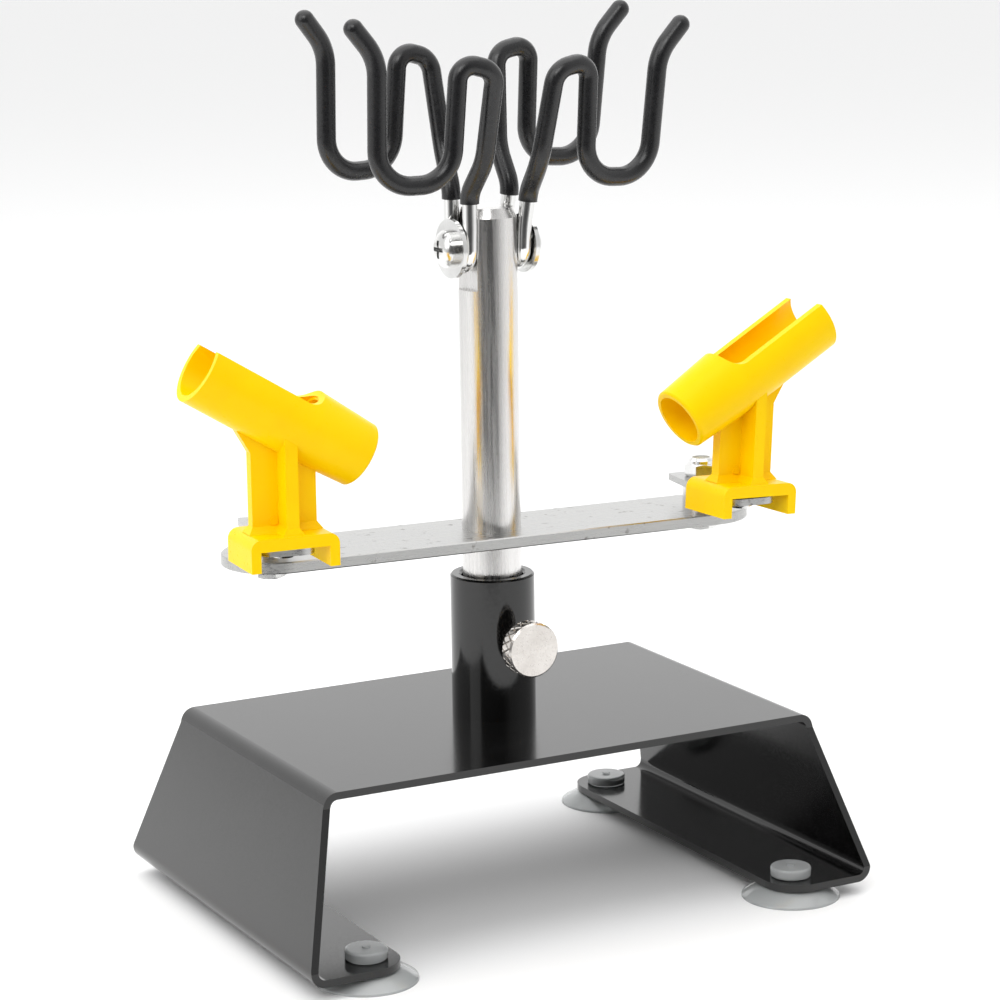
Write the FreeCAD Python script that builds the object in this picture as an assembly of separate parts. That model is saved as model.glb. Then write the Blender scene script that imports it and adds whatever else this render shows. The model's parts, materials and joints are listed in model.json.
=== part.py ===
# Airbrush holder stand: a bent-sheet base on suction cups, a collar with a thumbscrew, a
# post with a crossbar, two swinging yellow holders and two pairs of coated wire hooks.
# Millimetres. Origin on the table under the collar, +Z up, +X along the base's long side,
# +Y to the back. Left is -X.
import FreeCAD, Part
import math
import os

# Base: one sheet, bent into a top plate, two splayed legs and two inward flanges.
SHEET = 2.0
PLATE_TOP = 49.4
PLATE_HALF_X = 72.8
PLATE_HALF_Y = 46.6
FOOT_HALF_X = 85.5
FOOT_HALF_Y = 59.8
FLANGE_Z = 3.6
FLANGE_INNER_X = 56.0
FLANGE_CORNER_R = 9.2
BEND_R = 4.0
CUP_X = 64.5
CUP_Y = 50.3

# Suction cups.
CUP_R = 13.5
CUP_LIP = 0.7
CUP_NECK_R = 4.0
CUP_KNOB_R = 5.6
CUP_KNOB_H = 2.8
CUP_NUB_R = 1.1
CUP_NUB_H = 0.5

# Collar and the bolt that holds it to the plate.
COLLAR_R = 11.5
COLLAR_TOP = 88.7
COLLAR_BORE_R = 8.5
COLLAR_FLOOR = 6.0
COLLAR_BOLT_R = 3.0
COLLAR_BOLT_END = 54.4
WASHER_T = 1.2

# Thumbscrew, with its axis along -Y.
SCREW_Z = 71.7
SCREW_STUD_R = 3.0
SCREW_TIP_Y = -8.05
SCREW_HEAD_BACK = -17.4
SCREW_HEAD_FACE = -23.5
SCREW_HEAD_R = 7.5
SCREW_SHOULDER_R = 5.0
SCREW_SHOULDER_T = 1.4
SCREW_STUD_END = -21.0
KNURL_GROOVES = 20
KNURL_DEPTH = 0.35
KNURL_TWIST = 26.0

# Post, crossbar and pole on one vertical axis.
POST_R = 8.0
POST_BOTTOM = 65.0
BAR_BOTTOM = 98.1
BAR_T = 3.1
BAR_TOP = BAR_BOTTOM + BAR_T
BAR_HALF_L = 77.15
BAR_HALF_W = 14.35
BAR_YAW = -3.6
BAR_EDGE = 0.3
PIVOT_X = 64.5
STUD_R = 4.0
STUD_BOTTOM = 84.0
STUD_TOP = 119.0
STUD_RUN = 0.05
POLE_TOP = 188.6
POLE_YAW = 1.5
POLE_CHAMFER_H = 2.6
POLE_CHAMFER_IN = 1.1
POLE_FLAT_X = 6.15
POLE_FLAT_Z = 166.7

# Hook wires, their coating and the screws that clamp them to the pole's flats.
WIRE_R = 2.0
GRIP_R = 2.55
CLAMP_Z = 178.1
CLAMP_X = 8.2
STRAND_Y = 5.0
CLAMP_SCREW_R = 2.5
CLAMP_SCREW_IN = 1.0
CLAMP_WASHER_X = 10.45
CLAMP_WASHER_R = 7.9
CLAMP_WASHER_BORE_R = 2.65
CLAMP_HEAD_R = 5.0
CLAMP_HEAD_H = 3.3
GRIP_Z = 190.6

# Strands rise from the clamp, splay to the front and back, then each bends into a hook.
# x is the distance out from the pole's axis.
LEAN_Z = 184.0
SPLAY_Z = 193.2
KNEE_X = 7.1
KNEE_Y = 11.2
KNEE_Z = 202.4
LEAN_R = 30.0
SPLAY_R = 8.0
KNEE_R = 20.0
# Corners of the hook itself as (x, z, bend radius): top of the stem, end of the hump, both
# corners of the trough, start of the flare, tip.
HOOK = [(7.8, 226.8, 5.0), (17.9, 229.6, 4.0), (20.2, 198.5, 9.3), (40.4, 198.5, 9.3),
        (40.05, 231.4, 13.0), (46.2, 239.2, 0.0)]
# Wires are bent by hand: each leans out and tilts forward by its own angle, and each hook
# has its own plane: its distance from the pole's x axis at x = HOOK_ROOT, and its toe angle.
HOOK_TILT = {"left": 2.5, "right": 5.5}
HOOK_LEAN = {"left": 0.9, "right": 3.5}
HOOK_ROOT = 10.0
HOOK_PLANE = {("left", -1): (18.2, -6.8), ("left", 1): (16.8, -4.7),
              ("right", -1): (13.8, -2.9), ("right", 1): (17.9, 1.0)}

# End arms: spacer, strap, bolt and lock nut.
SPACER_R = 5.2
SPACER_TOP = 107.6
STRAP_T = 1.8
STRAP_TOP = SPACER_TOP + STRAP_T
STRAP_W = 14.5
STRAP_BACK = 6.8
ARM_REACH = 26.5
STRAP_FRONT = ARM_REACH + 8.5
STRAP_BACK_R = 1.0
STRAP_FRONT_R = 4.0
PIVOT_BOLT_R = 2.5
PIVOT_BORE_R = 2.55
BOLT_HEAD_AF = 8.0
BOLT_HEAD_H = 3.5
BOLT_END = 113.0
NUT_AF = 8.0
NUT_HEX_H = 3.7
NUT_CROWN_R = 3.7
NUT_TOP = 114.6
INSERT_BOTTOM = 113.0
INSERT_TOP = 114.2
INSERT_R = 3.2
INSERT_BORE_R = 2.3

# Where each arm stands at rest: swing of the strap, twist of its holder and the holder's lean.
STRAP_SWING = {"left": 15.66, "right": 8.16}
HOLDER_TWIST = -11.5
HOLDER_LEAN = {"left": 0.0, "right": 3.2}
SIDES = {"left": -1, "right": 1}

# Moulded holder. Its own x is to the right, -y to the front, z up, origin on the table
# under the column.
SADDLE_HALF_W = 11.9
SADDLE_WALL = 2.6
SADDLE_FRONT = -9.4
SADDLE_BACK = 8.7
SADDLE_BOTTOM = 104.1
SADDLE_TOP = 112.7
SADDLE_EDGE_R = 2.8
WEB_HALF_W = 8.7
WEB_HALF_T = 1.6
RIB_HALF_T = 1.7
RIB_HALF_D = 7.8
FOOT_FLARE = 1.3
FOOT_FLARE_H = 1.8
BARREL_Z = 143.3
BARREL_TILT = 31.6
BARREL_R = 9.6
MOUTH_R = 8.7
BARREL_OUT = 24.8
SHOULDER = -7.4
MOUTH = -25.1
SLOT_HEIGHT = 5.3
SLOT_START = -3.0
CRADLE_R = 7.9
THROAT_R = 7.1
GUSSET_W = 3.4
GUSSET_H = 5.0
MARK_R = 1.1
MARK_H = 0.3
MARK_X = -3.0
MARK_Z = 115.6
HOLDER_SCREW_R = 1.3
HOLDER_SCREW_END = 122.0
HOLDER_SCREW_HEAD_R = 3.4
HOLDER_SCREW_HEAD_H = 1.8
HOLDER_SCREW_SLACK = {"left": 0.0, "right": 0.65}

X_AXIS = FreeCAD.Vector(1, 0, 0)
Y_AXIS = FreeCAD.Vector(0, 1, 0)
Z_AXIS = FreeCAD.Vector(0, 0, 1)
CENTRE = FreeCAD.Vector(0, 0, 0)


def point(x, y, z):
    return FreeCAD.Vector(x, y, z)


def write(name, shape):
    if not shape.isValid() or shape.Volume <= 0:
        raise ValueError(name + " isn't a valid solid")
    shape.exportStep("parts/" + name + ".step")
    print(name, round(shape.Volume, 1))


def disc(radius, bottom, top, x=0.0, y=0.0):
    return Part.makeCylinder(radius, top - bottom, point(x, y, bottom), Z_AXIS)


def ring(outer, inner, bottom, top):
    return disc(outer, bottom, top).cut(disc(inner, bottom - 1, top + 1))


def block(low, high):
    size = high - low
    return Part.makeBox(size.x, size.y, size.z, low)


def prism(outline, along):
    return Part.Face(Part.makePolygon(outline + outline[:1])).extrude(along)


def hexagon(across_flats, bottom, height):
    corner = across_flats / math.sqrt(3)
    outline = []
    for step in range(6):
        angle = math.radians(60 * step + 30)
        outline.append(point(corner * math.cos(angle), corner * math.sin(angle), bottom))
    return prism(outline, Z_AXIS * height)


def revolved(profile):
    """Turn (radius, z) points about the Z axis."""
    outline = [point(radius, 0, z) for radius, z in profile]
    face = Part.Face(Part.makePolygon(outline + outline[:1]))
    return face.revolve(CENTRE, Z_AXIS, 360)


def edges_at(shape, test):
    """Edges whose middle passes the test."""
    return [edge for edge in shape.Edges if test(edge.CenterOfMass)]


def straight_edges(shape, direction, test):
    """Straight edges along a direction whose middle passes the test."""
    chosen = []
    for edge in edges_at(shape, test):
        if edge.Curve.TypeId != "Part::GeomLine":
            continue
        if abs(edge.Curve.Direction.dot(direction)) > 0.999:
            chosen.append(edge)
    return chosen


def turned(shape, degrees):
    shape = shape.copy()
    shape.rotate(CENTRE, Z_AXIS, degrees)
    return shape


# ---- base ------------------------------------------------------------------------------

def base_frame():
    rise = PLATE_TOP - FLANGE_Z
    run = FOOT_HALF_X - PLATE_HALF_X
    slope = run / rise
    inset = SHEET * math.hypot(1, slope)
    inner_top_x = PLATE_HALF_X + SHEET * slope - inset
    inner_foot_x = FOOT_HALF_X - SHEET * slope - inset
    right = [(PLATE_HALF_X, PLATE_TOP), (FOOT_HALF_X, FLANGE_Z), (FLANGE_INNER_X, FLANGE_Z),
             (FLANGE_INNER_X, FLANGE_Z + SHEET), (inner_foot_x, FLANGE_Z + SHEET),
             (inner_top_x, PLATE_TOP - SHEET)]
    outline = [point(x, -FOOT_HALF_Y, z) for x, z in right]
    outline += [point(-x, -FOOT_HALF_Y, z) for x, z in reversed(right)]
    sheet = prism(outline, Y_AXIS * (2 * FOOT_HALF_Y))

    def outer_bend(middle):
        return abs(abs(middle.x) - PLATE_HALF_X) < 0.1 or abs(abs(middle.x) - FOOT_HALF_X) < 0.1

    def inner_bend(middle):
        return abs(abs(middle.x) - inner_top_x) < 0.1 or abs(abs(middle.x) - inner_foot_x) < 0.1

    sheet = sheet.makeFillet(BEND_R, straight_edges(sheet, Y_AXIS, outer_bend))
    sheet = sheet.makeFillet(BEND_R - SHEET, straight_edges(sheet, Y_AXIS, inner_bend))

    half = [(FOOT_HALF_Y, 0), (FOOT_HALF_Y, FLANGE_Z + BEND_R), (PLATE_HALF_Y, PLATE_TOP - BEND_R),
            (PLATE_HALF_Y, PLATE_TOP + 1)]
    outline = [point(-FOOT_HALF_X - 1, y, z) for y, z in half]
    outline += [point(-FOOT_HALF_X - 1, -y, z) for y, z in reversed(half)]
    sheet = sheet.common(prism(outline, X_AXIS * (2 * FOOT_HALF_X + 2)))

    def flange_corner(middle):
        at_end = abs(abs(middle.y) - FOOT_HALF_Y) < 0.1
        return abs(abs(middle.x) - FLANGE_INNER_X) < 0.1 and at_end

    sheet = sheet.makeFillet(FLANGE_CORNER_R, straight_edges(sheet, Z_AXIS, flange_corner))
    for x in (-CUP_X, CUP_X):
        for y in (-CUP_Y, CUP_Y):
            sheet = sheet.cut(disc(CUP_NECK_R, 0, FLANGE_Z + 2 * SHEET, x, y))
    return sheet.cut(disc(COLLAR_BOLT_R, PLATE_TOP - 2 * SHEET, PLATE_TOP + 1))


def suction_cup():
    knob_bottom = FLANGE_Z + SHEET
    knob_top = knob_bottom + CUP_KNOB_H
    outline = [
        point(0, 0, 1.9), point(7.0, 0, 1.5), point(CUP_R - CUP_LIP, 0, 0), point(CUP_R, 0, 0),
        point(CUP_R - 0.2, 0, 0.6), point(7.4, 0, FLANGE_Z), point(CUP_NECK_R, 0, FLANGE_Z),
        point(CUP_NECK_R, 0, knob_bottom), point(CUP_KNOB_R, 0, knob_bottom),
        point(CUP_KNOB_R, 0, knob_top), point(CUP_NUB_R, 0, knob_top),
        point(CUP_NUB_R, 0, knob_top + CUP_NUB_H), point(0, 0, knob_top + CUP_NUB_H),
    ]
    dome_in = Part.Arc(outline[0], outline[1], outline[2]).toShape()
    dome_out = Part.Arc(outline[4], point(10.6, 0, 2.2), outline[5]).toShape()
    edges = [dome_in, Part.makeLine(outline[2], outline[3]), Part.makeLine(outline[3], outline[4])]
    edges.append(dome_out)
    for first, second in zip(outline[5:], outline[6:] + outline[:1]):
        edges.append(Part.makeLine(first, second))
    cup = Part.Face(Part.Wire(edges)).revolve(CENTRE, Z_AXIS, 360)

    def knob_rim(middle):
        return middle.z > knob_bottom - 0.1 and middle.z < knob_top + 0.1

    rims = []
    for edge in edges_at(cup, knob_rim):
        if edge.Curve.TypeId == "Part::GeomCircle" and abs(edge.Curve.Radius - CUP_KNOB_R) < 0.01:
            rims.append(edge)
    return cup.makeFillet(0.6, rims)


def collar():
    floor = PLATE_TOP + COLLAR_FLOOR
    edge = 0.5
    mouth = 0.7
    body = revolved([
        (0, PLATE_TOP), (COLLAR_R, PLATE_TOP), (COLLAR_R, COLLAR_TOP - edge),
        (COLLAR_R - edge, COLLAR_TOP), (COLLAR_BORE_R + mouth, COLLAR_TOP),
        (COLLAR_BORE_R, COLLAR_TOP - mouth), (COLLAR_BORE_R, floor), (0, floor),
    ])
    body = body.cut(disc(COLLAR_BOLT_R, PLATE_TOP - 1, floor + 1))
    side_hole = Part.makeCylinder(SCREW_STUD_R + 0.05, COLLAR_R, point(0, 0, SCREW_Z), -Y_AXIS)
    return body.cut(side_hole)


def collar_bolt():
    head_top = PLATE_TOP - SHEET - WASHER_T
    head = hexagon(10.0, head_top - 4.0, 4.0)
    dome = revolved([(0, head_top - 4.0), (4.9, head_top - 4.0), (6.0, head_top - 3.3),
                     (6.0, head_top), (0, head_top)])
    return head.common(dome).fuse(disc(COLLAR_BOLT_R, head_top, COLLAR_BOLT_END)).removeSplitter()


def collar_washer():
    top = PLATE_TOP - SHEET
    return ring(7.0, COLLAR_BOLT_R, top - WASHER_T, top)


def thumbscrew_stud():
    length = SCREW_TIP_Y - SCREW_STUD_END
    stud = Part.makeCylinder(SCREW_STUD_R, length, point(0, SCREW_STUD_END, SCREW_Z), Y_AXIS)
    tip = edges_at(stud, lambda middle: abs(middle.y - SCREW_TIP_Y) < 0.01)
    return stud.makeChamfer(0.5, [edge for edge in tip if edge.Closed])


def thumbscrew_head():
    """Disc with crossed slanting grooves round its rim, built along Z and laid over."""
    height = SCREW_HEAD_BACK - SCREW_HEAD_FACE
    rim = 0.5
    head = revolved([
        (0, 0), (SCREW_SHOULDER_R, 0), (SCREW_SHOULDER_R, SCREW_SHOULDER_T),
        (SCREW_HEAD_R - rim, SCREW_SHOULDER_T), (SCREW_HEAD_R, SCREW_SHOULDER_T + rim),
        (SCREW_HEAD_R, height - rim), (SCREW_HEAD_R - rim, height), (0, height),
    ])
    for hand in (-1, 1):
        for step in range(KNURL_GROOVES):
            start = 360.0 * step / KNURL_GROOVES
            head = head.cut(knurl_groove(start, hand * KNURL_TWIST, height))
    stud_depth = SCREW_HEAD_BACK - SCREW_STUD_END
    head = head.cut(disc(SCREW_STUD_R + 0.02, -1, stud_depth))
    head.rotate(CENTRE, X_AXIS, 90)
    head.translate(point(0, SCREW_HEAD_BACK, SCREW_Z))
    return head


def knurl_groove(start, twist, height):
    """A V groove across the rim that leans by twist degrees of turn over the head's height."""
    deep = SCREW_HEAD_R - KNURL_DEPTH
    lean = math.degrees(math.atan2(math.radians(twist) * SCREW_HEAD_R, height))
    half = 0.45
    reach = height
    outline = [point(deep, 0, -reach), point(SCREW_HEAD_R + 0.2, -half, -reach),
               point(SCREW_HEAD_R + 0.2, half, -reach)]
    groove = prism(outline, Z_AXIS * (2 * reach))
    groove.rotate(CENTRE, X_AXIS, -lean)
    groove.translate(point(0, 0, height / 2))
    return turned(groove, start)


# ---- post, crossbar and pole -----------------------------------------------------------

def lower_post():
    foot = 1.0
    body = revolved([(0, POST_BOTTOM), (POST_R - foot, POST_BOTTOM), (POST_R, POST_BOTTOM + foot),
                     (POST_R, BAR_BOTTOM), (0, BAR_BOTTOM)])
    return body.cut(disc(STUD_R, STUD_BOTTOM, BAR_BOTTOM + 1))


def joining_stud():
    tip = 0.6
    return revolved([(0, STUD_BOTTOM), (STUD_R - tip, STUD_BOTTOM), (STUD_R, STUD_BOTTOM + tip),
                     (STUD_R, STUD_TOP - tip), (STUD_R - tip, STUD_TOP), (0, STUD_TOP)])


def crossbar():
    straight = BAR_HALF_L - BAR_HALF_W
    bar = block(point(-straight, -BAR_HALF_W, BAR_BOTTOM), point(straight, BAR_HALF_W, BAR_TOP))
    for x in (-straight, straight):
        bar = bar.fuse(disc(BAR_HALF_W, BAR_BOTTOM, BAR_TOP, x, 0))
    bar = bar.removeSplitter()
    faces = [face for face in bar.Faces if abs(face.normalAt(0, 0).z) > 0.99]
    rims = [edge for face in faces for edge in face.Edges]
    bar = bar.makeChamfer(BAR_EDGE, rims)
    bar = bar.cut(disc(STUD_R + STUD_RUN, BAR_BOTTOM - 1, BAR_TOP + 1))
    for x in (-PIVOT_X, PIVOT_X):
        bar = bar.cut(disc(PIVOT_BOLT_R, BAR_BOTTOM - 1, BAR_TOP + 1, x, 0))
    return turned(bar, BAR_YAW)


def upper_pole():
    shoulder = POLE_TOP - POLE_CHAMFER_H
    pole = revolved([(0, BAR_TOP), (POST_R, BAR_TOP), (POST_R, shoulder),
                     (POST_R - POLE_CHAMFER_IN, POLE_TOP), (0, POLE_TOP)])
    wide = 2 * POST_R
    for side in SIDES.values():
        near = min(side * POLE_FLAT_X, side * wide)
        far = max(side * POLE_FLAT_X, side * wide)
        pole = pole.cut(block(point(near, -wide, POLE_FLAT_Z), point(far, wide, POLE_TOP + 1)))
    pole = pole.cut(disc(STUD_R + STUD_RUN, BAR_TOP - 1, STUD_TOP + 1))
    cross_hole = Part.makeCylinder(CLAMP_SCREW_R, 2 * wide, point(-wide, 0, CLAMP_Z), X_AXIS)
    return turned(pole.cut(cross_hole), POLE_YAW)


# ---- hooks -----------------------------------------------------------------------------

def bent_path(corners):
    """Straight runs joined by tangent arcs. Each corner is (point, bend radius)."""
    edges = []
    start = corners[0][0]
    for (before, _), (corner, radius), (after, _) in zip(corners, corners[1:], corners[2:]):
        arriving = (corner - before).normalize()
        leaving = (after - corner).normalize()
        turn = arriving.getAngle(leaving)
        reach = radius * math.tan(turn / 2)
        first = corner - arriving * reach
        last = corner + leaving * reach
        inward = (leaving - arriving).normalize()
        middle = corner + inward * (radius / math.cos(turn / 2) - radius)
        if (first - start).Length > 1e-6:
            edges.append(Part.makeLine(start, first))
        edges.append(Part.Arc(first, middle, last).toShape())
        start = last
    if (corners[-1][0] - start).Length > 1e-6:
        edges.append(Part.makeLine(start, corners[-1][0]))
    return Part.Wire(edges)


def tube(path, radius):
    edge = path.Edges[0]
    start = edge.valueAt(edge.FirstParameter)
    onward = edge.tangentAt(edge.FirstParameter)
    profile = Part.Wire(Part.Circle(start, onward, radius).toShape())
    solid = path.makePipeShell([profile], True, False)
    expected = math.pi * radius ** 2 * path.Length
    if abs(solid.Volume / expected - 1) > 0.01:
        raise ValueError("a tube's volume is wrong")
    return solid


def hook_corners(side, depth, start_z):
    """Corners of one strand and its hook from start_z up to the tip, each with its bend radius.

    depth is -1 for the front hook and 1 for the back one.
    """
    plane_y, toe = HOOK_PLANE[side, depth]

    lean = math.radians(HOOK_LEAN[side])

    def corner(x, y, z):
        out = x
        up = z
        if z > LEAN_Z:
            out = CLAMP_X + (x - CLAMP_X) * math.cos(lean) + (z - CLAMP_Z) * math.sin(lean)
            up = CLAMP_Z + (z - CLAMP_Z) * math.cos(lean) - (x - CLAMP_X) * math.sin(lean)
        return point(SIDES[side] * out, depth * y, up)

    corners = [(corner(CLAMP_X, STRAND_Y, start_z), 0)]
    if start_z < LEAN_Z:
        corners.append((corner(CLAMP_X, STRAND_Y, LEAN_Z), LEAN_R))
    corners.append((corner(CLAMP_X, STRAND_Y, SPLAY_Z), SPLAY_R))
    corners.append((corner(KNEE_X, KNEE_Y, KNEE_Z), KNEE_R))
    for x, z, radius in HOOK:
        y = plane_y + (x - HOOK_ROOT) * math.tan(math.radians(toe))
        corners.append((corner(x, y, z), radius))
    return corners


def hook_place(side, shape):
    """Tilt a shape forward on the clamp screw and turn it with the pole."""
    shape = shape.copy()
    shape.rotate(point(0, 0, CLAMP_Z), X_AXIS, HOOK_TILT[side])
    return turned(shape, POLE_YAW)


def hook_wire(side):
    """One wire: front hook, a U round the clamp screw, back hook."""
    sign = SIDES[side]
    bottom = CLAMP_Z - STRAND_Y
    front = list(reversed(hook_corners(side, -1, CLAMP_Z)[1:]))
    back = hook_corners(side, 1, CLAMP_Z)[1:]
    turn_r = STRAND_Y * 0.999
    under = [(point(sign * CLAMP_X, -STRAND_Y, bottom), turn_r),
             (point(sign * CLAMP_X, STRAND_Y, bottom), turn_r)]
    return hook_place(side, tube(bent_path(front + under + back), WIRE_R))


def hook_grip(side, depth):
    """Coating over one hook, closed by a round end over the wire's tip."""
    corners = hook_corners(side, depth, GRIP_Z)
    path = bent_path(corners)
    skin = tube(path, GRIP_R).fuse(Part.makeSphere(GRIP_R, corners[-1][0]))
    return hook_place(side, skin.cut(tube(path, WIRE_R)))


def clamp_washer(side):
    sign = SIDES[side]
    washer = ring(CLAMP_WASHER_R, CLAMP_WASHER_BORE_R, CLAMP_WASHER_X, CLAMP_WASHER_X + WASHER_T)
    return laid_on_clamp_axis(washer, sign)


def clamp_screw(side):
    """Pan head screw with a cross recess, built along Z and laid over."""
    sign = SIDES[side]
    seat = CLAMP_WASHER_X + WASHER_T
    top = seat + CLAMP_HEAD_H
    rise = CLAMP_HEAD_H * 0.45
    rim = point(CLAMP_HEAD_R, 0, seat + rise)
    crown = point(0, 0, top)
    shoulder = point(CLAMP_HEAD_R * 0.72, 0, seat + CLAMP_HEAD_H * 0.88)
    corners = [crown, point(0, 0, CLAMP_SCREW_IN), point(CLAMP_SCREW_R, 0, CLAMP_SCREW_IN),
               point(CLAMP_SCREW_R, 0, seat), point(CLAMP_HEAD_R, 0, seat), rim]
    edges = [Part.makeLine(first, second) for first, second in zip(corners, corners[1:])]
    edges.append(Part.Arc(rim, shoulder, crown).toShape())
    screw = Part.Face(Part.Wire(edges)).revolve(CENTRE, Z_AXIS, 360)
    return laid_on_clamp_axis(screw.cut(cross_recess(top)), sign)


def cross_recess(top):
    """Two crossed slots whose ends slope in towards the bottom."""
    half_w = 0.55
    wide = 2.7
    narrow = 0.9
    deep = 2.0
    outline = [point(-wide, -half_w, top + 0.5), point(wide, -half_w, top + 0.5),
               point(narrow, -half_w, top - deep), point(-narrow, -half_w, top - deep)]
    slot = prism(outline, Y_AXIS * (2 * half_w))
    return slot.fuse(turned(slot, 90)).removeSplitter()


def laid_on_clamp_axis(shape, sign):
    shape = shape.copy()
    shape.rotate(CENTRE, Y_AXIS, sign * 90)
    shape.translate(point(0, 0, CLAMP_Z))
    return turned(shape, POLE_YAW)


# ---- end arms --------------------------------------------------------------------------

def pivot_place(side, shape):
    """Move a shape from the Z axis to the crossbar's bolt on one side."""
    yaw = math.radians(BAR_YAW)
    reach = SIDES[side] * PIVOT_X
    shape = shape.copy()
    shape.translate(point(reach * math.cos(yaw), reach * math.sin(yaw), 0))
    return shape


def pivot_bolt(side):
    head = hexagon(BOLT_HEAD_AF, BAR_BOTTOM - BOLT_HEAD_H, BOLT_HEAD_H)
    corner = BOLT_HEAD_AF / math.sqrt(3)
    flat_r = BOLT_HEAD_AF * 0.48
    bottom = BAR_BOTTOM - BOLT_HEAD_H
    round_off = revolved([(0, bottom), (flat_r, bottom), (corner, bottom + 0.5), (corner, BAR_BOTTOM),
                          (0, BAR_BOTTOM)])
    tip = 0.5
    shank = revolved([(0, BAR_BOTTOM), (PIVOT_BOLT_R, BAR_BOTTOM), (PIVOT_BOLT_R, BOLT_END - tip),
                      (PIVOT_BOLT_R - tip, BOLT_END), (0, BOLT_END)])
    return pivot_place(side, turned(head.common(round_off).fuse(shank).removeSplitter(), BAR_YAW))


def spacer(side):
    return pivot_place(side, ring(SPACER_R, PIVOT_BOLT_R, BAR_TOP, SPACER_TOP))


def lock_nut(side):
    """Hexagon with rounded corners and a round crown that holds the insert."""
    corner = NUT_AF / math.sqrt(3)
    hex_top = STRAP_TOP + NUT_HEX_H
    body = hexagon(NUT_AF, STRAP_TOP, NUT_HEX_H)
    round_off = revolved([(0, STRAP_TOP), (NUT_AF * 0.49, STRAP_TOP), (corner, STRAP_TOP + 0.4),
                          (corner, hex_top - 0.5), (NUT_CROWN_R, hex_top), (0, hex_top)])
    crown = revolved([(0, hex_top), (NUT_CROWN_R, hex_top), (NUT_CROWN_R, NUT_TOP - 0.7),
                      (NUT_CROWN_R - 0.7, NUT_TOP), (0, NUT_TOP)])
    nut = body.common(round_off).fuse(crown).removeSplitter()
    nut = nut.cut(disc(PIVOT_BOLT_R, STRAP_TOP - 1, NUT_TOP + 1))
    nut = nut.cut(disc(INSERT_R, INSERT_BOTTOM, INSERT_TOP))
    return pivot_place(side, turned(nut, 10 * SIDES[side]))


def lock_nut_insert(side):
    return pivot_place(side, ring(INSERT_R, INSERT_BORE_R, INSERT_BOTTOM, INSERT_TOP))


def strap(side):
    """Flat strap that runs forward from the bolt to under the holder."""
    half = STRAP_W / 2
    body = block(point(-half, -STRAP_FRONT, SPACER_TOP), point(half, STRAP_BACK, STRAP_TOP))
    back = straight_edges(body, Z_AXIS, lambda middle: middle.y > 0)
    body = body.makeFillet(STRAP_BACK_R, back)
    front = straight_edges(body, Z_AXIS, lambda middle: middle.y < -STRAP_FRONT + 0.1)
    body = body.makeFillet(STRAP_FRONT_R, front)
    body = body.cut(disc(PIVOT_BORE_R, SPACER_TOP - 1, STRAP_TOP + 1))
    body = body.cut(disc(HOLDER_SCREW_R + 0.3, SPACER_TOP - 1, STRAP_TOP + 1, 0, -ARM_REACH))
    return pivot_place(side, turned(body, -STRAP_SWING[side]))


def holder_place(side, shape):
    """Lean a shape over the strap's edge, turn it on the strap and carry it out to its place."""
    shape = shape.copy()
    shape.rotate(point(STRAP_W / 2, 0, STRAP_TOP), Y_AXIS, HOLDER_LEAN[side])
    shape.rotate(CENTRE, Z_AXIS, -(STRAP_SWING[side] + HOLDER_TWIST))
    swing = math.radians(STRAP_SWING[side])
    shape.translate(point(-ARM_REACH * math.sin(swing), -ARM_REACH * math.cos(swing), 0))
    return pivot_place(side, shape)


def along_barrel(side, shape):
    """Move a shape built along Z to the barrel's axis, +Z to the high open end."""
    shape = shape.copy()
    shape.rotate(CENTRE, Y_AXIS, SIDES[side] * (90 - BARREL_TILT))
    shape.translate(point(0, 0, BARREL_Z))
    return shape


def saddle():
    """Channel that sits over the strap."""
    body = block(point(-SADDLE_HALF_W, SADDLE_FRONT, SADDLE_BOTTOM),
                 point(SADDLE_HALF_W, SADDLE_BACK, SADDLE_TOP))
    top_edges = straight_edges(body, Y_AXIS, lambda middle: middle.z > SADDLE_TOP - 0.1)
    body = body.makeFillet(SADDLE_EDGE_R, top_edges)
    inner = SADDLE_HALF_W - SADDLE_WALL
    return body.cut(block(point(-inner, SADDLE_FRONT - 1, SADDLE_BOTTOM - 1),
                          point(inner, SADDLE_BACK + 1, STRAP_TOP)))


def column(side):
    """Cross-shaped column up to the barrel's axis, cut off in the barrel's middle plane."""
    top = BARREL_Z + 2 * BARREL_R
    web = block(point(-WEB_HALF_W, -WEB_HALF_T, SADDLE_TOP), point(WEB_HALF_W, WEB_HALF_T, top))
    rib = block(point(-RIB_HALF_T, -RIB_HALF_D, SADDLE_TOP), point(RIB_HALF_T, RIB_HALF_D, top))
    reach = 4 * BARREL_R
    above = block(point(0, -reach, -reach), point(reach, reach, reach))
    if side == "right":
        above.rotate(CENTRE, Z_AXIS, 180)
    return web.fuse(rib).removeSplitter().cut(along_barrel(side, above))


def foot_flare(half_x, half_y):
    """Slanting flare round the foot of one wall of the column."""
    limit_y = min(half_y + FOOT_FLARE, SADDLE_BACK - 0.2)
    rings = []
    for x, y, z in ((half_x + FOOT_FLARE, limit_y, SADDLE_TOP),
                    (half_x, half_y, SADDLE_TOP + FOOT_FLARE_H)):
        corners = [point(-x, -y, z), point(x, -y, z), point(x, y, z), point(-x, y, z)]
        rings.append(Part.makePolygon(corners + corners[:1]))
    return Part.makeLoft(rings, True, True)


def gusset(side):
    """Small web that ties the tube's underside to the column's outer edge."""
    sign = SIDES[side]
    under = BARREL_R / math.cos(math.radians(BARREL_TILT))
    slope = math.tan(math.radians(BARREL_TILT))
    inner = WEB_HALF_W - 1.0
    outer = WEB_HALF_W + GUSSET_W
    outline = []
    for x, drop in ((inner, GUSSET_H), (inner, -2.0), (outer, -2.0), (outer, 0)):
        outline.append(point(sign * x, -WEB_HALF_T, BARREL_Z - under + x * slope - drop))
    return prism(outline, Y_AXIS * (2 * WEB_HALF_T))


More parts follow.
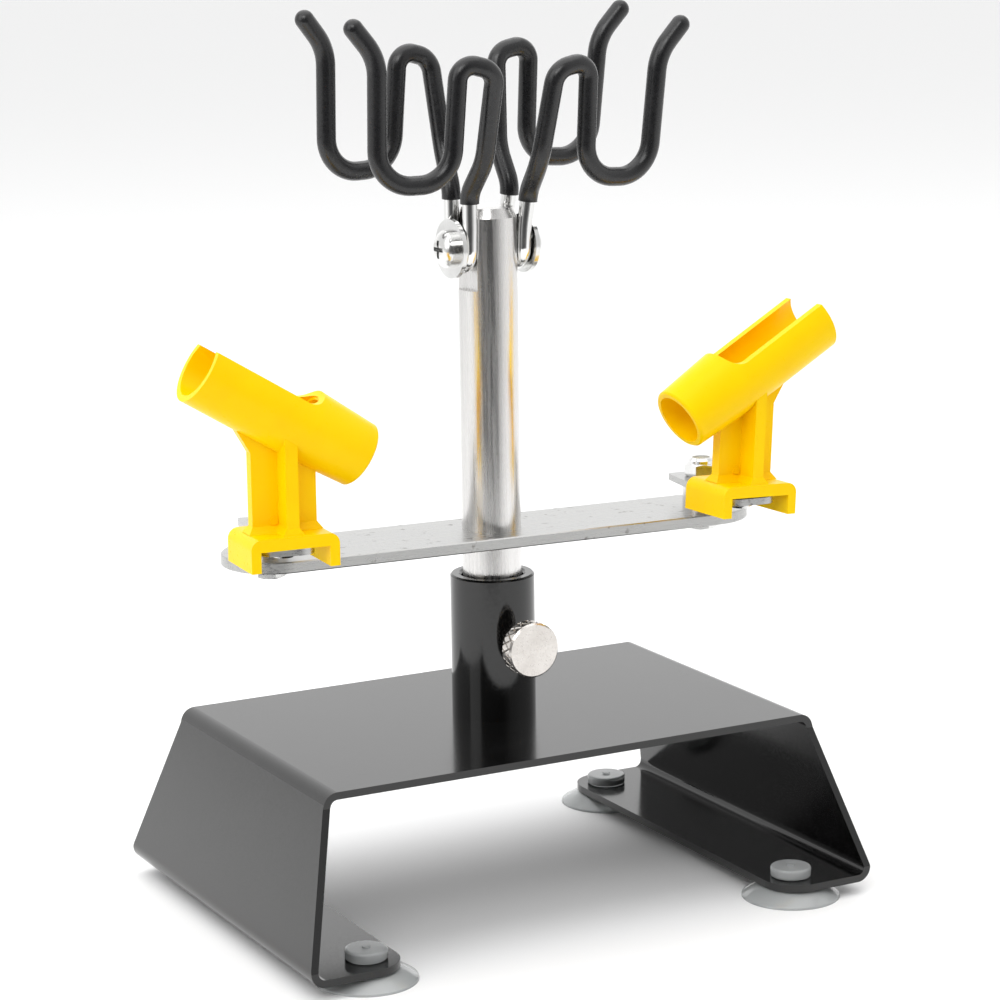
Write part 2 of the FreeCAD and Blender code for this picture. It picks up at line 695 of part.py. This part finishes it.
def slot_cutter():
    """Space above the cradle, which curves up to the full tube at the shoulder."""
    top = BARREL_R + 6
    end = BARREL_OUT + 6
    rise = SLOT_START - SHOULDER
    centre_x = -SLOT_HEIGHT - rise
    bottom = point(-SLOT_HEIGHT, -top, SLOT_START)
    middle = point(centre_x + rise * math.cos(math.pi / 4), -top,
                   SLOT_START - rise * math.sin(math.pi / 4))
    shoulder = point(centre_x, -top, SHOULDER)
    edges = [
        Part.makeLine(point(-SLOT_HEIGHT, -top, end), bottom),
        Part.Arc(bottom, middle, shoulder).toShape(),
        Part.makeLine(shoulder, point(-top, -top, SHOULDER)),
        Part.makeLine(point(-top, -top, SHOULDER), point(-top, -top, end)),
        Part.makeLine(point(-top, -top, end), point(-SLOT_HEIGHT, -top, end)),
    ]
    return Part.Face(Part.Wire(edges)).extrude(Y_AXIS * (2 * top))


def airbrush_holder(side):
    sign = SIDES[side]
    edge = 0.5
    outside = revolved([
        (0, MOUTH), (MOUTH_R - edge, MOUTH), (MOUTH_R, MOUTH + edge), (BARREL_R, SHOULDER),
        (BARREL_R, BARREL_OUT), (0, BARREL_OUT),
    ])
    inside = disc(CRADLE_R, SHOULDER, BARREL_OUT + 1).fuse(disc(THROAT_R, MOUTH - 1, SHOULDER))
    slot = slot_cutter()
    if sign < 0:
        slot.rotate(CENTRE, Z_AXIS, 180)
    body = saddle().fuse(column(side))
    body = body.fuse(foot_flare(WEB_HALF_W, WEB_HALF_T)).fuse(foot_flare(RIB_HALF_T, RIB_HALF_D))
    body = body.fuse(along_barrel(side, outside)).fuse(gusset(side))
    body = body.cut(along_barrel(side, inside)).cut(along_barrel(side, slot))
    mark = Part.makeCylinder(MARK_R, WEB_HALF_T + MARK_H, point(MARK_X, 0, MARK_Z), -Y_AXIS)
    body = body.fuse(mark).cut(disc(HOLDER_SCREW_R, SADDLE_BOTTOM, HOLDER_SCREW_END))
    return holder_place(side, body.removeSplitter())


def holder_screw(side):
    top = SPACER_TOP - HOLDER_SCREW_SLACK[side]
    bottom = top - HOLDER_SCREW_HEAD_H
    edge = 0.6
    screw = revolved([
        (0, bottom), (HOLDER_SCREW_HEAD_R - edge, bottom), (HOLDER_SCREW_HEAD_R, bottom + edge),
        (HOLDER_SCREW_HEAD_R, top), (HOLDER_SCREW_R, top), (HOLDER_SCREW_R, HOLDER_SCREW_END - 1),
        (0, HOLDER_SCREW_END),
    ])
    slot = cross_recess(0)
    slot.rotate(CENTRE, X_AXIS, 180)
    slot.translate(point(0, 0, bottom + 0.8))
    return holder_place(side, screw.cut(slot))


def main():
    os.makedirs("parts", exist_ok=True)
    write("base_frame", base_frame())
    cup = suction_cup()
    for side, sign in SIDES.items():
        for end, depth in (("front", -1), ("back", 1)):
            placed = cup.copy()
            placed.translate(point(sign * CUP_X, depth * CUP_Y, 0))
            write("suction_cup_" + side + "_" + end, placed)
    write("collar", collar())
    write("collar_bolt", collar_bolt())
    write("collar_washer", collar_washer())
    write("thumbscrew_stud", thumbscrew_stud())
    write("thumbscrew_head", thumbscrew_head())
    write("lower_post", lower_post())
    write("joining_stud", joining_stud())
    write("crossbar", crossbar())
    write("upper_pole", upper_pole())
    for side in SIDES:
        write("hook_wire_" + side, hook_wire(side))
        write("hook_grip_" + side + "_front", hook_grip(side, -1))
        write("hook_grip_" + side + "_back", hook_grip(side, 1))
        write("clamp_washer_" + side, clamp_washer(side))
        write("clamp_screw_" + side, clamp_screw(side))
        write("pivot_bolt_" + side, pivot_bolt(side))
        write("spacer_" + side, spacer(side))
        write("lock_nut_" + side, lock_nut(side))
        write("lock_nut_insert_" + side, lock_nut_insert(side))
        write("strap_" + side, strap(side))
        write("airbrush_holder_" + side, airbrush_holder(side))
        write("holder_screw_" + side, holder_screw(side))


main()
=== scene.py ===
import json
import math

import bpy
from mathutils import Matrix, Vector

# Camera: place and near clip in metres and angles in degrees, all in the frame's own axes;
# lens and sensor width in millimetres.
CAMERA_AT = (-0.3877446, -0.7325797, 0.2821294)
YAW = 28.056
PITCH = 11.82
ROLL = -0.772
LENS = 112.275
SENSOR = 36.0
NEAR_CLIP = 0.01

# The floor stops this far in front of the object's centre, so upright metal mirrors darkness.
FLOOR_FRONT = 0.40
FLOOR_REACH = 8.0

# Strength of the surroundings, and of what the camera itself sees, which is plain white.
STUDIO_STRENGTH = 1.32
BACKDROP_STRENGTH = 1.0

# A colour Mix node has one set of sockets for each kind of value; these are the colour ones.
MIX_COLOUR_A = 6
MIX_COLOUR_B = 7
MIX_COLOUR_OUT = 2

# Noise seldom leaves this range, so it is what gets spread over a finish's own range.
NOISE_LOW = 0.3
NOISE_HIGH = 0.7
# The noise scale of a finish's colour patches, as a share of its grain's: less is broader.
PATCH_SCALE = 0.08

EVEN = (1.0, 1.0, 1.0)
WHITE = (1.0, 1.0, 1.0)


def node(tree, kind, **inputs):
    made = tree.nodes.new(kind)
    for name, value in inputs.items():
        made.inputs[name.replace("_", " ")].default_value = value
    return made


def noise(tree, scale, detail, stretch=EVEN):
    """Noise in the piece's own metres, stretched along its axes."""
    place = tree.nodes.new("ShaderNodeTexCoord")
    mapping = tree.nodes.new("ShaderNodeMapping")
    mapping.inputs["Scale"].default_value = stretch
    texture = node(tree, "ShaderNodeTexNoise", Scale=scale, Detail=detail)
    tree.links.new(place.outputs["Object"], mapping.inputs["Vector"])
    tree.links.new(mapping.outputs["Vector"], texture.inputs["Vector"])
    return texture.outputs["Fac"]


def ramp(tree, source, stops):
    """A colour ramp over source, from its (position, colour) stops."""
    made = tree.nodes.new("ShaderNodeValToRGB")
    elements = made.color_ramp.elements
    elements[0].position = stops[0][0]
    elements[0].color = (*stops[0][1], 1)
    elements[1].position = stops[-1][0]
    elements[1].color = (*stops[-1][1], 1)
    for position, colour in stops[1:-1]:
        elements.new(position).color = (*colour, 1)
    tree.links.new(source, made.inputs["Fac"])
    return made.outputs["Color"]


def spread(tree, source, low, high):
    """Noise spread over low to high."""
    made = node(tree, "ShaderNodeMapRange", From_Min=NOISE_LOW, From_Max=NOISE_HIGH,
                To_Min=low, To_Max=high)
    tree.links.new(source, made.inputs["Value"])
    return made.outputs["Result"]


def bump(tree, shader, source, strength, distance):
    made = node(tree, "ShaderNodeBump", Strength=strength, Distance=distance)
    tree.links.new(source, made.inputs["Height"])
    tree.links.new(made.outputs["Normal"], shader.inputs["Normal"])


def finish_of(name, fixed):
    material = bpy.data.materials.new(name)
    material.use_nodes = True
    shader = material.node_tree.nodes["Principled BSDF"]
    for socket, value in fixed.items():
        shader.inputs[socket].default_value = value
    return material, material.node_tree, shader


def mottled(name, dark, light, rough, grain, relief, fixed, stretch=EVEN):
    """A finish whose colour varies in broad patches, and its gloss and relief grain by grain.

    rough is the range of roughness, relief is (bump strength, height in metres).
    """
    material, tree, shader = finish_of(name, fixed)
    broad = noise(tree, scale=grain * PATCH_SCALE, detail=3.0, stretch=stretch)
    fine = noise(tree, scale=grain, detail=4.0, stretch=stretch)
    colour = ramp(tree, broad, [(NOISE_LOW, dark), (NOISE_HIGH, light)])
    tree.links.new(colour, shader.inputs["Base Color"])
    tree.links.new(spread(tree, fine, *rough), shader.inputs["Roughness"])
    bump(tree, shader, fine, *relief)
    return material


def stained_bar():
    """Steel brushed along its length, with small dark stains."""
    material, tree, shader = finish_of("brushed_bar", {"Metallic": 1.0})
    brushing = noise(tree, scale=1500.0, detail=3.0, stretch=(0.012, 1.0, 1.0))
    spots = noise(tree, scale=330.0, detail=5.0)
    clean = ramp(tree, brushing, [(0.25, (0.38, 0.38, 0.375)), (0.75, (0.50, 0.50, 0.49))])
    marks = ramp(tree, spots, [(0.63, WHITE), (0.70, (0.45, 0.43, 0.41))])
    mix = node(tree, "ShaderNodeMix")
    mix.data_type = "RGBA"
    mix.blend_type = "MULTIPLY"
    mix.inputs["Factor"].default_value = 1.0
    tree.links.new(clean, mix.inputs[MIX_COLOUR_A])
    tree.links.new(marks, mix.inputs[MIX_COLOUR_B])
    tree.links.new(mix.outputs[MIX_COLOUR_OUT], shader.inputs["Base Color"])
    roughness = spread(tree, brushing, low=0.22, high=0.38)
    tree.links.new(roughness, shader.inputs["Roughness"])
    bump(tree, shader, brushing, strength=0.10, distance=0.00001)
    return material


def finishes():
    """The finish of each material slot."""
    coat = {"IOR": 1.56}
    metal = {"Metallic": 1.0}
    recipes = {
        "black_coat": dict(dark=(0.002, 0.002, 0.002), light=(0.005, 0.005, 0.005),
                           rough=(0.10, 0.20), grain=1400.0, relief=(0.06, 0.00002), fixed=coat),
        "black_gloss": dict(dark=(0.002, 0.002, 0.002), light=(0.004, 0.004, 0.004),
                            rough=(0.08, 0.15), grain=1200.0, relief=(0.04, 0.00001), fixed=coat),
        "clear_pvc": dict(dark=(0.62, 0.64, 0.64), light=(0.80, 0.82, 0.82),
                          rough=(0.06, 0.16), grain=500.0, relief=(0.1, 0.00003),
                          fixed={"Transmission Weight": 0.6, "IOR": 1.45}),
        "zinc": dict(dark=(0.66, 0.66, 0.65), light=(0.80, 0.80, 0.79),
                     rough=(0.12, 0.24), grain=1600.0, relief=(0.1, 0.00001), fixed=metal),
        "nickel": dict(dark=(0.60, 0.57, 0.54), light=(0.70, 0.67, 0.64),
                       rough=(0.18, 0.30), grain=1800.0, relief=(0.12, 0.00001), fixed=metal),
        "turned_steel": dict(dark=(0.62, 0.61, 0.60), light=(0.78, 0.77, 0.76),
                             rough=(0.20, 0.34), grain=1400.0, relief=(0.1, 0.00001),
                             fixed=metal, stretch=(1.0, 1.0, 0.03)),
        "bright_wire": dict(dark=(0.70, 0.70, 0.69), light=(0.84, 0.84, 0.83),
                            rough=(0.06, 0.14), grain=900.0, relief=(0.06, 0.00001),
                            fixed=metal),
        "black_vinyl": dict(dark=(0.008, 0.008, 0.009), light=(0.016, 0.016, 0.017),
                            rough=(0.22, 0.34), grain=900.0, relief=(0.16, 0.00004),
                            fixed={"IOR": 1.5}),
        "nylon": dict(dark=(0.76, 0.76, 0.72), light=(0.86, 0.86, 0.83),
                      rough=(0.35, 0.5), grain=900.0, relief=(0.1, 0.00002),
                      fixed={"Subsurface Weight": 0.1}),
        "yellow_plastic": dict(dark=(1.0, 0.62, 0.0), light=(1.0, 0.66, 0.0),
                               rough=(0.26, 0.38), grain=1100.0, relief=(0.1, 0.00002),
                               fixed={"Specular IOR Level": 0.1}),
    }
    made = {slot: mottled(slot, **recipe) for slot, recipe in recipes.items()}
    made["brushed_bar"] = stained_bar()
    return made


def dress(nodes, slots, materials):
    """Give every CAD node the finish of the material slot its record names."""
    for name, piece in nodes.items():
        finish = materials[slots[name]]
        piece.data.materials.clear()
        piece.data.materials.append(finish)
        for polygon in piece.data.polygons:
            polygon.material_index = 0


def camera():
    data = bpy.data.cameras.new("camera")
    data.lens = LENS
    data.sensor_width = SENSOR
    data.clip_start = NEAR_CLIP
    made = bpy.data.objects.new("camera", data)
    turn = Matrix.Rotation(math.radians(-YAW), 4, "Z")
    tip = Matrix.Rotation(math.radians(90 - PITCH), 4, "X")
    roll = Matrix.Rotation(math.radians(ROLL), 4, "Z")
    made.matrix_world = Matrix.Translation(CAMERA_AT) @ turn @ tip @ roll
    bpy.context.collection.objects.link(made)
    bpy.context.scene.camera = made


def softbox(name, place, aim, size, power):
    data = bpy.data.lights.new(name, "AREA")
    data.shape = "RECTANGLE"
    data.size, data.size_y = size
    data.energy = power
    made = bpy.data.objects.new(name, data)
    made.location = place
    made.rotation_euler = (Vector(aim) - Vector(place)).to_track_quat("-Z", "Y").to_euler()
    bpy.context.collection.objects.link(made)


def studio():
    """Surroundings for bright metal to mirror: white behind, and dark toward the camera.

    The camera itself sees plain white.
    """
    world = bpy.data.worlds.new("studio")
    world.use_nodes = True
    tree = world.node_tree
    tree.nodes.clear()
    place = tree.nodes.new("ShaderNodeTexCoord")
    facing = tree.nodes.new("ShaderNodeVectorMath")
    facing.operation = "DOT_PRODUCT"
    toward = Vector((CAMERA_AT[0], CAMERA_AT[1], 0.0)).normalized()
    facing.inputs[1].default_value = toward
    tree.links.new(place.outputs["Generated"], facing.inputs[0])
    scaled = node(tree, "ShaderNodeMapRange", From_Min=-1.0, From_Max=1.0)
    tree.links.new(facing.outputs["Value"], scaled.inputs["Value"])
    shade = ramp(tree, scaled.outputs["Result"], [
        (0.0, WHITE), (0.12, WHITE), (0.30, (0.72, 0.72, 0.72)),
        (0.62, (0.72, 0.72, 0.72)), (0.82, (0.51, 0.51, 0.51)), (0.93, (0.12, 0.12, 0.12)),
        (1.0, (0.05, 0.05, 0.05)),
    ])
    background = node(tree, "ShaderNodeBackground", Strength=STUDIO_STRENGTH)
    tree.links.new(shade, background.inputs["Color"])
    plain_white = node(tree, "ShaderNodeBackground", Color=(*WHITE, 1), Strength=BACKDROP_STRENGTH)
    path = tree.nodes.new("ShaderNodeLightPath")
    choose = tree.nodes.new("ShaderNodeMixShader")
    tree.links.new(path.outputs["Is Camera Ray"], choose.inputs["Fac"])
    tree.links.new(background.outputs["Background"], choose.inputs[1])
    tree.links.new(plain_white.outputs["Background"], choose.inputs[2])
    output = tree.nodes.new("ShaderNodeOutputWorld")
    tree.links.new(choose.outputs["Shader"], output.inputs["Surface"])
    bpy.context.scene.world = world
    softbox("overhead", place=(0.0, 0.2, 1.3), aim=(0, 0, 0.1), size=(1.6, 1.6), power=9.0)
    softbox("front_box", place=(-0.9, -1.2, 1.3), aim=(0, 0, 0.12), size=(1.0, 0.8), power=11.0)
    softbox("left_box", place=(-1.2, -0.2, 0.8), aim=(0, 0, 0.1), size=(0.8, 1.2), power=5.0)


def floor():
    """A pale plane, square to the camera's view, from FLOOR_FRONT before the object and back."""
    mesh = bpy.data.meshes.new("floor")
    away = Matrix.Rotation(math.radians(-YAW), 3, "Z")
    corners = [(-FLOOR_REACH, -FLOOR_FRONT), (FLOOR_REACH, -FLOOR_FRONT),
               (FLOOR_REACH, FLOOR_REACH), (-FLOOR_REACH, FLOOR_REACH)]
    mesh.from_pydata([away @ Vector((x, y, 0)) for x, y in corners], [], [(0, 1, 2, 3)])
    made = bpy.data.objects.new("floor", mesh)
    material, tree, shader = finish_of("floor", {"Base Color": (0.93, 0.93, 0.93, 1),
                                                 "Roughness": 0.7})
    grain = noise(tree, scale=60.0, detail=2.0)
    bump(tree, shader, grain, strength=0.02, distance=0.0001)
    mesh.materials.append(material)
    bpy.context.collection.objects.link(made)


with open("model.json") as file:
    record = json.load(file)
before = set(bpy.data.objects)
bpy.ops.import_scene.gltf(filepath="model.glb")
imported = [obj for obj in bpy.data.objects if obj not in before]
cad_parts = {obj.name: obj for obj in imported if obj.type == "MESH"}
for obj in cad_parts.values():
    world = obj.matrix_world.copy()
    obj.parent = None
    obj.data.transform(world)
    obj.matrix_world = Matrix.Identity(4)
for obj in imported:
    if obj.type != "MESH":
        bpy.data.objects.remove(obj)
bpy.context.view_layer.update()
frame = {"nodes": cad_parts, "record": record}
record_slots = {part["node"]: part["material_slot"] for part in frame["record"]["subparts"]}
dress(frame["nodes"], record_slots, finishes())
camera()
studio()
floor()
scene = bpy.context.scene
scene.view_settings.view_transform = "Standard"
